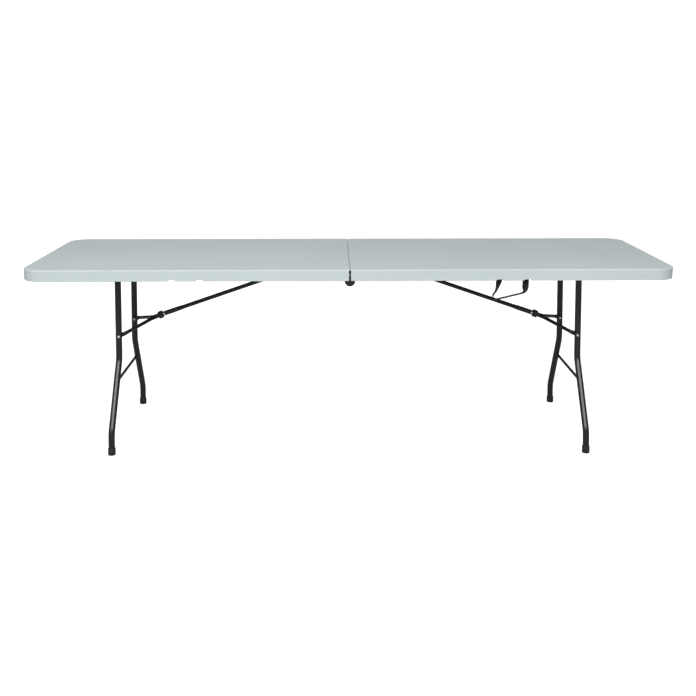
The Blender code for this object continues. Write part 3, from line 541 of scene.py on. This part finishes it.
def leg_tube(side, edge):
    s = -1 if edge == "front" else 1
    bm = bmesh.new()
    loft(bm, leg_rings(s, TUBE_R))
    ob = made_piece(f"{side}_leg_tube_{edge}", bm, LEG_PAINT, side + "_leg_frame", side)
    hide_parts(f"{side}_leg_{edge}")

    bm = bmesh.new()
    turns = [2 * pi * i / 44 for i in range(44)]
    bead(bm, [leg_place(hypot(TUBE_R * cos(t), 0.0025), (TUBE_R + 0.0003) * sin(t),
                        s * LEG_Y_TOP + (TUBE_R + 0.0003) * cos(t)) for t in turns])
    made_piece(f"{side}_leg_weld_{edge}", bm, LEG_PAINT, side + "_leg_frame", side)


def pivot_tube(side):
    """Tube across the top of the frame, its ends rolled in over the plugs."""
    half = tube_high.y
    bm = bmesh.new()
    turned(bm, (PIVOT.x, 0, PIVOT.z), (0, 1, 0),
           [(-half, TUBE_R - 0.0012), (-half + 0.0002, TUBE_R - 0.0004), (-half + 0.0008, TUBE_R),
            (half - 0.0008, TUBE_R), (half - 0.0002, TUBE_R - 0.0004), (half, TUBE_R - 0.0012)], 40)
    ob = made_piece(side + "_pivot_tube_round", bm, LEG_PAINT, side + "_leg_frame", side)
    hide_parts(side + "_pivot_tube")


def crossbar(side):
    """Thin bar between the legs with a weld where each end meets its tube."""
    bm = bmesh.new()
    reach = leg_centre_y(BAR_DOWN) - 0.0080
    lean = atan2(leg_centre_y(BAR_DOWN + 0.01) - leg_centre_y(BAR_DOWN - 0.01), 0.02)
    turned(bm, leg_place(BAR_DOWN, -BAR_OFFSET, 0), (0, 1, 0), [(-reach, BAR_R), (reach, BAR_R)], 28)
    for s in (-1, 1):
        path = []
        for i in range(28):
            t = 2 * pi * i / 28
            out = max(-BAR_OFFSET + (BAR_R + 0.0004) * cos(t), -TUBE_R * 0.94)
            depth = (max(TUBE_R ** 2 - out ** 2, 0.0)) ** 0.5 / cos(lean)
            along = BAR_DOWN + (BAR_R + 0.0004) * sin(t)
            path.append(leg_place(along, out, s * (leg_centre_y(along) - depth)))
        bead(bm, path, 0.0013)
    ob = made_piece(side + "_crossbar_round", bm, LEG_PAINT, side + "_leg_frame", side)
    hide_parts(side + "_leg_crossbar")


def leg_centre_y(along):
    """Distance of a leg's centre line from the table's centre plane at this distance down it."""
    pts = leg_path(1)
    for (a0, y0), (a1, y1) in zip(pts, pts[1:]):
        if a0 <= along <= a1:
            return y0 + (y1 - y0) * (along - a0) / (a1 - a0)
    return pts[-1][1]


def foot_cap(side, edge):
    """Moulded cap: rolled mouth, two grip rings and a chamfered base that stands level."""
    s = -1 if edge == "front" else 1
    down = leg_place(1.0, 0, 0) - leg_place(0.0, 0, 0)
    start, r = LEG_LEN - CAP_H, CAP_R
    profile = [(start + 0.004, TUBE_R + 0.0002), (start + 0.0004, TUBE_R + 0.0002), (start, TUBE_R + 0.0007),
               (start + 0.0002, r - 0.0010), (start + 0.0009, r - 0.0003), (start + 0.002, r)]
    for k in (0.0065, 0.0115):
        profile += [(start + k - 0.0014, r), (start + k - 0.0008, r - 0.0005),
                    (start + k + 0.0008, r - 0.0005), (start + k + 0.0014, r)]
    profile += [(LEG_LEN - 0.0030, r), (LEG_LEN - 0.0012, r - 0.0003), (LEG_LEN + 0.004, r - 0.0018)]
    bm = bmesh.new()
    turned(bm, leg_place(0, 0, s * LEG_Y_FOOT), down, profile, 44)
    sliced = bmesh.ops.bisect_plane(bm, geom=bm.verts[:] + bm.edges[:] + bm.faces[:],
                                    plane_co=(0, 0, 0), plane_no=(0, 0, -1), clear_outer=True)
    bmesh.ops.contextual_create(bm, geom=[g for g in sliced["geom_cut"] if isinstance(g, bmesh.types.BMEdge)])
    ob = made_piece(f"{side}_foot_{edge}", bm, BLACK, side + "_leg_frame", side)
    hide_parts(f"{side}_foot_cap_{edge}")


for side in ("left", "right"):
    pivot_tube(side)
    crossbar(side)
    for edge in ("front", "back"):
        leg_tube(side, edge)
        foot_cap(side, edge)
print("leg frames done")

# %% [markdown]
# ## Braces
# Each brace is a tube pinned near the fold. Its far end is pressed flat between two fork
# arms, which are thinner tubes pressed flat at both ends. The flattened sections are lofted
# from obrounds whose thickness runs down while their height grows, as a press leaves them.

# %% Brace bars and fork arms
def obround(w, h, count=28):
    flat = max(h - w, 0.0)
    return [(w * cos(t), w * sin(t) + (flat if sin(t) > 0 else -flat))
            for t in (2 * pi * (i + 0.5) / count for i in range(count))]


def smoothed(stations, steps=5):
    """Catmull-Rom points between stations, which are tuples of numbers."""
    out = []
    for i in range(len(stations) - 1):
        p0, p1 = stations[max(i - 1, 0)], stations[i]
        p2, p3 = stations[i + 1], stations[min(i + 2, len(stations) - 1)]
        for k in range(steps):
            t = k / steps
            out.append(tuple(0.5 * (2 * b + (c - a) * t + (2 * a - 5 * b + 4 * c - d) * t * t
                                    + (3 * b - a - 3 * c + d) * t ** 3)
                             for a, b, c, d in zip(p0, p1, p2, p3)))
    return out + [stations[-1]]


def swept(bm, stations, origin, tilt):
    """Skin over (x, y, turn, half width, half height); x runs down the brace from origin."""
    rings = []
    for x, y, turn, w, h in stations:
        ring = []
        for across, up in obround(w, h):
            along = x - across * sin(turn)
            ring.append((origin.x - along * cos(tilt) - up * sin(tilt), y + across * cos(turn),
                         origin.z - along * sin(tilt) + up * cos(tilt)))
        rings.append(ring)
    loft(bm, rings)


def pressed_end(at, direction, w, h, y=0.0):
    """Stations that round off a flattened end, as the press tool trims it."""
    return [(at + direction * h * sin(radians(a)), y, 0.0,
             min(w, h * cos(radians(a)) * 0.98), h * cos(radians(a)))
            for a in (88, 80, 70, 58, 44, 30, 15)]


BRACE_TILT = atan2(BRACE_PIN.z - BRACE_JOINT.z, BRACE_PIN.x - BRACE_JOINT.x)
BRACE_LEN = hypot(BRACE_PIN.z - BRACE_JOINT.z, BRACE_PIN.x - BRACE_JOINT.x)
FORK_TILT = atan2(BRACE_JOINT.z - FORK_END.z, BRACE_JOINT.x - FORK_END.x)
FORK_LEN = hypot(BRACE_JOINT.z - FORK_END.z, BRACE_JOINT.x - FORK_END.x)


def brace_bar(side):
    w, h, r, end = BLADE_T / 2, BLADE_H / 2, BRACE_R, BRACE_LEN
    pin_w, pin_h = 0.0040, 0.0090
    middle = [(0.006, 0, 0, pin_w, pin_h), (0.014, 0, 0, pin_w, pin_h), (0.024, 0, 0, 0.0058, 0.0088),
              (0.036, 0, 0, 0.0076, 0.0086), (0.046, 0, 0, r, r), (0.060, 0, 0, r, r),
              (end - 0.104, 0, 0, r, r), (end - 0.088, 0, 0, r, r), (end - 0.076, 0, 0, 0.0072, 0.0088),
              (end - 0.062, 0, 0, 0.0045, 0.0095), (end - 0.052, 0, 0, w, h), (end + 0.004, 0, 0, w, h)]
    bm = bmesh.new()
    swept(bm, pressed_end(0.0, -1, pin_w, pin_h) + smoothed(middle)
          + pressed_end(end + TAIL - h, 1, w, h)[::-1], BRACE_PIN, BRACE_TILT)
    ob = made_piece(side + "_brace_tube", bm, LEG_PAINT, side + "_brace", side)
    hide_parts(side + "_brace_bar")


def fork_arm(side, edge):
    s = -1 if edge == "front" else 1
    w, h, r = PLATE_T / 2, PLATE_H / 2, ARM_R
    near = s * (BLADE_T / 2 + FIT + w)
    far = s * (LEG_Y_TOP - TUBE_R - FIT - LAP_GAP - w)
    x0, x1 = 0.046, FORK_LEN - 0.020
    turn = atan2(far - near, x1 - x0)
    middle = [(0.004, near, 0, w, h), (0.018, near, 0, w, h),
              (0.032, near + s * 0.0010, turn * 0.12, w + 0.0006, h - 0.0004),
              (x0 - 0.004, near + s * 0.0035, turn * 0.55, 0.0042, 0.0082)]
    middle += [(x0 + (x1 - x0) * k, near + (far - near) * k + s * 0.002 * (1 - k), turn, r, r)
               for k in (0.12, 0.24, 0.80, 0.90)]
    middle += [(x1 - 0.001, far - s * 0.0022, turn * 0.55, 0.0042, 0.0082),
               (FORK_LEN - 0.010, far, turn * 0.08, w + 0.0003, h - 0.0003), (FORK_LEN - 0.002, far, 0, w, h)]
    bm = bmesh.new()
    curve = [(x, s * min(abs(y), abs(far)), turn, a, b) for x, y, turn, a, b in smoothed(middle)]
    swept(bm, pressed_end(0.0, -1, w, h, near) + curve
          + pressed_end(FORK_LEN, 1, w, h, far)[::-1], BRACE_JOINT, FORK_TILT)
    ob = made_piece(f"{side}_fork_tube_{edge}", bm, LEG_PAINT, side + "_fork", side)
    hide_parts(f"{side}_fork_arm_{edge}")


# %% [markdown]
# ## Lock rings and rivets
# The ring is a strip of steel bent round the brace with broken edges. The rivets' bright
# domed heads are the lightest specks under the table, so their shape gets real curvature.

# %% Lock rings and rivets
def lock_ring(side):
    e, w, t = 0.0007, RING_W / 2, RING_T
    section = [(-w + e, 0), (w - e, 0), (w, e), (w, t - e), (w - e * 0.3, t - e * 0.3), (w - e, t),
               (-w + e, t), (-w + e * 0.3, t - e * 0.3), (-w, t - e), (-w, e)]
    rings = []
    for along, grow in section:
        hy, hz, cr = RING_Y + grow, RING_Z + grow, 0.003 + grow
        shape = (arc(hy - cr, hz - cr, cr, 0, 90, 7) + arc(-hy + cr, hz - cr, cr, 90, 180, 7)
                 + arc(-hy + cr, -hz + cr, cr, 180, 270, 7) + arc(hy - cr, -hz + cr, cr, 270, 360, 7))
        at = BRACE_LEN + RING_AT + along
        rings.append([(BRACE_PIN.x - at * cos(BRACE_TILT) - up * sin(BRACE_TILT), y,
                       BRACE_PIN.z - at * sin(BRACE_TILT) + up * cos(BRACE_TILT)) for y, up in shape])
    bm = bmesh.new()
    loft(bm, rings, closed=True)
    ob = made_piece(side + "_lock_ring_bent", bm, LEG_PAINT, side + "_ring", side)
    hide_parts(side + "_lock_ring")


def headed_pin(name, node, body, r, head_r, head_h, side="left", look=None):
    """Pin or rivet along Y in the place of a CAD one, with a domed head at each end."""
    low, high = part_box(node)
    if side == "right":
        low, high = Vector((-high.x, low.y, low.z)), Vector((-low.x, high.y, high.z))
    mid, half = (low + high) / 2, (high.y - low.y) / 2 - head_h
    head = rounded_head(half, head_r, head_h)
    bm = bmesh.new()
    turned(bm, mid, (0, 1, 0), [(-a, b) for a, b in head[::-1]] + [(-half, r), (half, r)] + head, 36)
    ob = made_piece(name, bm, look or ZINC, body, side)
    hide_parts(node)


def leg_rivet(side, edge):
    """Rivet through a leg: domed head outside, and the peened tail it leaves on the fork arm."""
    s = -1 if edge == "front" else 1
    face = LEG_Y_TOP + TUBE_R
    bm = bmesh.new()
    turned(bm, (FORK_END.x, 0, FORK_END.z), (0, s, 0),
           [(LEG_Y_TOP - TUBE_R + 0.0002, 0.0035), (face - 0.0016, 0.0035), (face - 0.0016, 0.0048)]
           + rounded_head(face - 0.0002, 0.0050, 0.0027), 36)
    ob = made_piece(f"{side}_leg_rivet_headed_{edge}", bm, ZINC, side + "_leg_frame", side)
    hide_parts(f"{side}_leg_rivet_{edge}")

    inner = LEG_Y_TOP - TUBE_R - FIT - LAP_GAP - PLATE_T
    bm = bmesh.new()
    turned(bm, (FORK_END.x, s * inner, FORK_END.z), (0, -s, 0),
           [(-0.0004, 0.0040)] + rounded_head(0.0, 0.0046, 0.0016), 28)
    made_piece(f"{side}_leg_rivet_tail_{edge}", bm, ZINC, side + "_fork", side)


for side in ("left", "right"):
    brace_bar(side)
    lock_ring(side)
    headed_pin(side + "_brace_rivet_headed", side + "_brace_rivet", side + "_fork",
               0.0035, 0.0054, 0.0020, side)
    headed_pin(side + "_brace_pin_headed", side + "_brace_pin", side + "_half", 0.0040, 0.0062, 0.0016, side)
    for edge in ("front", "back"):
        fork_arm(side, edge)
        leg_rivet(side, edge)
print("braces done: bar", round(BRACE_LEN, 4), "fork", round(FORK_LEN, 4))

# %% [markdown]
# ## Centre hinges
# Each end of the fold has two plates that overlap round a headed pin. Their ears hang just
# under the skirt, so the outline is the CAD one with broken edges and a finer round.

# %% Hinge leaves and pins
def hinge_leaf(side, edge):
    low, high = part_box(f"{side}_hinge_leaf_{edge}")
    ear_r = high.x if side == "left" else -low.x
    length = max(-low.x, high.x)
    shoulder = (0.0205, 0.0020)
    step = TOP_Z - SEAM_RIM_HEIGHT - 0.0008
    outline = ([(-length, low_edge(low, high)), (-0.030, low_edge(low, high)),
                (-shoulder[0], FOLD.z + shoulder[1])] + arc(0, FOLD.z, ear_r, -125, 78, 40)
               + [(-SEAM_RIM - 0.0045, step), (-SEAM_RIM - 0.0045, high.z), (-length, high.z)])
    bm = bmesh.new()
    loft(bm, [[(x, y, z) for x, z in outline] for y in (low.y, high.y)])
    rim = [e for e in bm.edges if abs(e.verts[0].co.y - e.verts[1].co.y) < 1e-6]
    bmesh.ops.bevel(bm, geom=rim, offset=0.0004, segments=2, profile=0.5, affect="EDGES")
    ob = made_piece(f"{side}_hinge_plate_{edge}", bm, RAIL_PAINT, side + "_half", side)
    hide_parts(f"{side}_hinge_leaf_{edge}")


def low_edge(low, high):
    """Bottom of the leaf's long arm, which is shallower than its ear."""
    return high.z - 0.0226


for side in ("left", "right"):
    for edge in ("front", "back"):
        hinge_leaf(side, edge)
for edge in ("front", "back"):
    headed_pin("hinge_pin_headed_" + edge, "hinge_pin_" + edge, "left_half",
               0.004, 0.0095, 0.0032, look=RAIL_PAINT)
print("hinges done")

# %% [markdown]
# ## Screws
# Pan-head screws hold the rails, cross rails and strap plates to bosses in the moulding.
# They are small, so one head is made with its cross recess, then copied to each place.

# %% Screws
def screw_mesh(head_r=0.0042, head_h=0.0022):
    """Pan head standing on Z = 0 and facing +Z, with a tapered cross recess."""
    bm = bmesh.new()
    turned(bm, (0, 0, 0), (0, 0, 1), [(-0.002, 0.0018)] + rounded_head(0.0, head_r, head_h, 6), 28)
    ob = made_piece("screw_master", bm, ZINC, "left_half")
    bm = bmesh.new()
    wide, slim = head_r * 0.52, head_r * 0.13
    cross = [(slim, wide), (-slim, wide), (-slim, slim), (-wide, slim), (-wide, -slim), (-slim, -slim),
             (-slim, -wide), (slim, -wide), (slim, -slim), (wide, -slim), (wide, slim), (slim, slim)]
    loft(bm, [[(x * k, y * k, z) for x, y in cross] for z, k in ((head_h * 0.35, 0.6), (head_h * 1.3, 1.0))])
    carve(ob, bm)
    mesh = ob.data
    bpy.data.objects.remove(ob)
    return mesh


SCREW = screw_mesh()


def screws(name, places, facing, body, side="left"):
    """One piece that holds a row of screw heads, each turned a little differently, as driven."""
    bm = bmesh.new()
    up = Vector(facing).to_track_quat("Z", "Y").to_matrix().to_4x4()
    for i, p in enumerate(places):
        before = len(bm.verts)
        bm.from_mesh(SCREW)
        bm.verts.ensure_lookup_table()
        turn = Matrix.Translation(p) @ up @ Matrix.Rotation(0.7 * i + 0.3, 4, "Z")
        bmesh.ops.transform(bm, matrix=turn, verts=bm.verts[before:])
    ob = made_piece(name, bm, ZINC, body, side, 40)


cross_low, cross_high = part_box("left_cross_rail")
plate_low, plate_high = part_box("strap_anchor_inner")
SHEET = 0.0015
for side in ("left", "right"):
    for edge, s in (("front", -1), ("back", 1)):
        y = s * (-rail_high.y - 0.0055 + 0.013)
        run = [-1.13, -1.02, -0.80, -0.66, -0.52, -0.38, -0.24, -0.14]
        screws(f"{side}_rail_screws_{edge}", [(x, y, rail_high.z - SHEET) for x in run], (0, 0, -1),
               side + "_half", side)
    x = (cross_low.x + cross_high.x) / 2
    screws(side + "_cross_rail_screws", [(x, y, cross_high.z - SHEET) for y in (-0.27, -0.13, 0.13, 0.27)],
           (0, 0, -1), side + "_half", side)
z = (plate_low.z + plate_high.z) / 2
screws("strap_plate_screws", [(-x + d, plate_high.y, z) for x in STRAP_ENDS for d in (-0.009, 0.009)],
       (0, 1, 0), "right_half", "right")
print("screws:", len(SCREW.polygons), "faces each")

# %% [markdown]
# ## Carry strap
# A length of webbing hangs in a low loop under the front edge: it leaves the skirt flat,
# turns edge-on as it drops, runs along, and comes back up flat. Cloth simulation would let
# it swing anywhere, so the ribbon follows chosen stations with its twist given at each one,
# and carries its own UV map in metres so that the weave keeps its size round the loop.

# %% Carry strap
def strap_stations():
    """(x, y, z, twist) with the twist in quarter turns: even where the webbing faces the long side."""
    top, low = SKIRT_Z + NOTCH_H + 0.012, SKIRT_Z + 0.004
    near, far = STRAP_ENDS
    hang = [(near - 0.0016, 0.0050, -0.40), (near - 0.0030, 0.0130, -0.56), (near - 0.0046, 0.0200, -0.67),
            (near - 0.0066, 0.0290, -0.79), (near - 0.0090, 0.0380, -0.89), (near - 0.0145, 0.0490, -0.97),
            (near - 0.0200, 0.0570, -1.0), (near - 0.0222, 0.0635, -1.0), (near - 0.0205, 0.0700, -1.0),
            (near - 0.0165, 0.0745, -1.0), (near - 0.0110, 0.0760, -1.0), (near + 0.0010, 0.0733, -1.0),
            (near + 0.0160, 0.0698, -1.0), (near + 0.0299, 0.0667, -1.0), (far - 0.0442, 0.0603, -1.0),
            (far - 0.0180, 0.0542, -1.0), (far - 0.0087, 0.0508, -1.04), (far - 0.0032, 0.0455, -1.18),
            (far - 0.0014, 0.0395, -1.42), (far - 0.0004, 0.0330, -1.64), (far, 0.0265, -1.82),
            (far, 0.0190, -1.95)]   # drop below the skirt
    pts = [(near, top, 0.0), (near - 0.0004, low, -0.14)]
    pts += [(x, SKIRT_Z - drop, k) for x, drop, k in hang]
    pts += [(far, low, -2.0), (far, top, -2.0)]

    def inward(z):
        t = min(max(0.69 - z, 0.0) / 0.03, 1.0)
        return 0.004 * t * t * (3 - 2 * t)
    return smoothed([(x, -STRAP_Y + inward(z), z, k) for x, z, k in pts], 4)


def carry_strap():
    w, t = STRAP_W / 2, STRAP_T / 2
    section = [(-w + 0.0008, -t), (0.0, -t * 1.06), (w - 0.0008, -t), (w - 0.0002, -t * 0.6),
               (w, 0.0), (w - 0.0002, t * 0.6), (w - 0.0008, t), (0.0, t * 1.06),
               (-w + 0.0008, t), (-w + 0.0002, t * 0.6), (-w, 0.0), (-w + 0.0002, -t * 0.6)]
    bm = bmesh.new()
    uv = bm.loops.layers.uv.new("along_across")
    stations = strap_stations()
    rings, travel = [], [0.0]
    for i, (x, y, z, k) in enumerate(stations):
        xa, _, za, _ = stations[max(i - 1, 0)]
        xb, _, zb, _ = stations[min(i + 1, len(stations) - 1)]
        run = Vector((xb - xa, 0, zb - za)).normalized()
        side_on = Vector((0, 1, 0))
        face = run.cross(side_on)
        turn = k * pi / 2
        across = face * cos(turn) + side_on * sin(turn)
        out = run.cross(across).normalized()
        rings.append([bm.verts.new(Vector((x, y, z)) + across * a + out * b) for a, b in section])
        if i:
            travel.append(travel[-1] + hypot(x - stations[i - 1][0], z - stations[i - 1][2]))
    n = len(section)
    for i in range(len(rings) - 1):
        for j in range(n):
            k = (j + 1) % n
            f = bm.faces.new((rings[i][j], rings[i][k], rings[i + 1][k], rings[i + 1][j]))
            for loop, (u, v) in zip(f.loops, ((travel[i], section[j][0]), (travel[i], section[k][0]),
                                             (travel[i + 1], section[k][0]), (travel[i + 1], section[j][0]))):
                loop[uv].uv = (u, v)
    bm.faces.new(rings[0][::-1])
    bm.faces.new(rings[-1])
    ob = made_piece("carry_strap_webbing", bm, WEB, "right_half", sharp=50)
    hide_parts("carry_strap")
    print(f"strap: {travel[-1]:.3f} m of {STRAP_W * 1000:.1f} mm webbing")


carry_strap()

# %% [markdown]
# ## Carried-over steel
# Rails, cross rails, brackets, strap plates and pivot plugs already have their real shape in
# the frame, so they keep it and only take a finish.

# %% Finishes on carried-over nodes
def finish_node(name, look):
    NODES[name].data.materials.clear()
    NODES[name].data.materials.append(look)


for name in NODES:
    if "rail" in name or "bracket" in name:
        finish_node(name, RAIL_PAINT)
    elif "anchor" in name:
        finish_node(name, ZINC)
    elif "plug" in name:
        finish_node(name, BLACK)

# %% [markdown]
# ## Stage, light and camera
# A plain pale floor and a soft studio: a long box light high in front, a dome that dims towards
# the horizon, a small low fill in front and a wide one behind for looks from the far side. The
# floor has a lift that only the camera sees. The camera looks from the front, a little above.

# %% Stage, light and camera
def stage_floor():
    mat, tree, bsdf = new_material("studio_floor_white")
    place = add(tree, "TexCoord").outputs["Object"]
    mottle = add(tree, "TexNoise", {"Vector": place, "Scale": 3.0, "Detail": 2.0}).outputs[0]
    wire(tree, blended(tree, "#a9a9a9", "#b0b0b0", ranged(tree, mottle, 0.0, 1.0)), bsdf.inputs["Base Color"])
    bsdf.inputs["Roughness"].default_value = 0.9
    bsdf.inputs["Specular IOR Level"].default_value = 0.1
    # a lift that only the camera sees, as a paper sweep burns out to white without lighting more
    seen = add(tree, "LightPath").outputs["Is Camera Ray"]
    bsdf.inputs["Emission Color"].default_value = linear("#ffffff")
    wire(tree, add(tree, "Math", {0: seen, 1: 0.85}, operation="MULTIPLY").outputs[0],
         bsdf.inputs["Emission Strength"])
    bm = bmesh.new()
    bmesh.ops.create_grid(bm, x_segments=1, y_segments=1, size=14.0)
    mesh = bpy.data.meshes.new("floor")
    bm.to_mesh(mesh)
    bm.free()
    floor = bpy.data.objects.new("floor", mesh)
    bpy.context.scene.collection.objects.link(floor)
    mesh.materials.append(mat)


def area_light(name, place, aim, size, watts, colour="#ffffff"):
    data = bpy.data.lights.new(name, "AREA")
    data.shape = "RECTANGLE"
    data.size, data.size_y = size
    data.energy = watts
    data.color = linear(colour)[:3]
    lamp = bpy.data.objects.new(name, data)
    bpy.context.scene.collection.objects.link(lamp)
    lamp.location = place
    lamp.rotation_euler = (Vector(aim) - Vector(place)).to_track_quat("-Z", "Y").to_euler()
    return lamp


stage_floor()
world = bpy.data.worlds.new("studio")
world.use_nodes = True
sky = world.node_tree
# white to the camera; as light, a dome that is bright overhead, dim towards the horizon and
# dimmer still behind the table, so that the sides of the dark tubes fall away
part = add(sky, "SeparateXYZ", {0: add(sky, "TexCoord").outputs["Generated"]})
dome = add(sky, "MapRange", {"Value": part.outputs[2], "From Min": 0.30, "From Max": 0.62,
                             "To Min": 0.14, "To Max": 0.66}).outputs[0]
rear = add(sky, "MapRange", {"Value": part.outputs[1], "From Min": -0.2, "From Max": 0.7,
                             "To Min": 1.0, "To Max": 0.62}).outputs[0]
glow = add(sky, "Math", {0: dome, 1: rear}, operation="MULTIPLY").outputs[0]
seen = add(sky, "LightPath").outputs["Is Camera Ray"]
level = add(sky, "Math", {0: glow, 1: seen}, operation="MAXIMUM").outputs[0]
sky.links.new(level, sky.nodes["Background"].inputs["Strength"])
sky.nodes["Background"].inputs["Color"].default_value = linear("#ffffff")
bpy.context.scene.world = world
bpy.context.scene.view_settings.view_transform = "Standard"
area_light("key_softbox", (-0.4, -3.6, 3.6), (0, 0, 0.6), (7.0, 1.4), 318, "#fdfeff")
area_light("front_fill", (-0.3, -4.6, 0.5), (0, 0, 0.5), (1.2, 0.5), 5)
# lifts the far skirt for a look from behind, with no glint of its own on the tubes
rear_fill = area_light("rear_fill", (0.3, 4.2, 1.1), (0, 0, 0.6), (4.0, 1.2), 70)
rear_fill.visible_glossy = rear_fill.visible_camera = False

data = bpy.data.cameras.new("camera")
data.sensor_width, data.lens = 36.0, 48.998
data.shift_x, data.shift_y = 0.00389, -0.14076
camera = bpy.data.objects.new("camera", data)
bpy.context.scene.collection.objects.link(camera)
camera.location = (-0.0640, -3.8131, 1.3854)
camera.rotation_euler = (radians(90 - 9.447), 0, radians(-0.7726))
bpy.context.scene.camera = camera
